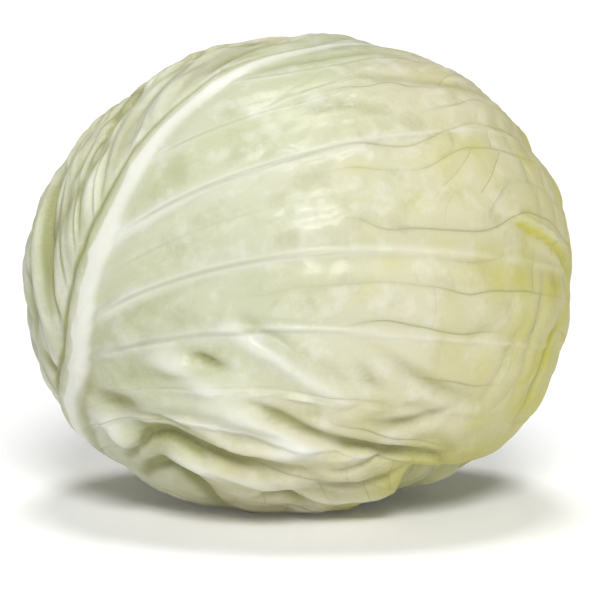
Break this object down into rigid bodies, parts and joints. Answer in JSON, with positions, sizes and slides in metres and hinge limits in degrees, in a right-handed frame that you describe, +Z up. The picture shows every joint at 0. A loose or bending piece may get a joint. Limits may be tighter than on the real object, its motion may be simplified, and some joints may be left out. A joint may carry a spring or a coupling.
{
  "type": "green cabbage",
  "caption": "Round green cabbage head lying on its side: waxy ribbed wrapper leaves closed over a dense heart, with a short cut stem.",
  "frame": {"origin": "under the middle of the head's bounding box, on the surface that the head lies on", "axes": "+Z up; +X along the head's longest side, with the cut stem towards -X and the crown towards +X; the big midrib faces -Y"},
  "size_m": [0.179, 0.1616, 0.1545],
  "materials": {
    "outer_leaf": "waxy, semi-gloss, pale green to cream",
    "second_leaf": "waxy, semi-gloss, pale green",
    "third_leaf": "waxy, semi-gloss, pale yellow-green",
    "heart": "waxy, pale yellow-green",
    "cut_stem": "dull, dry cut face"
  },
  "bodies": {
    "root": {"leaf_outer": "outer_leaf", "leaf_second": "second_leaf", "leaf_third": "third_leaf", "heart": "heart", "stump": "cut_stem"}
  },
  "joints": []
}
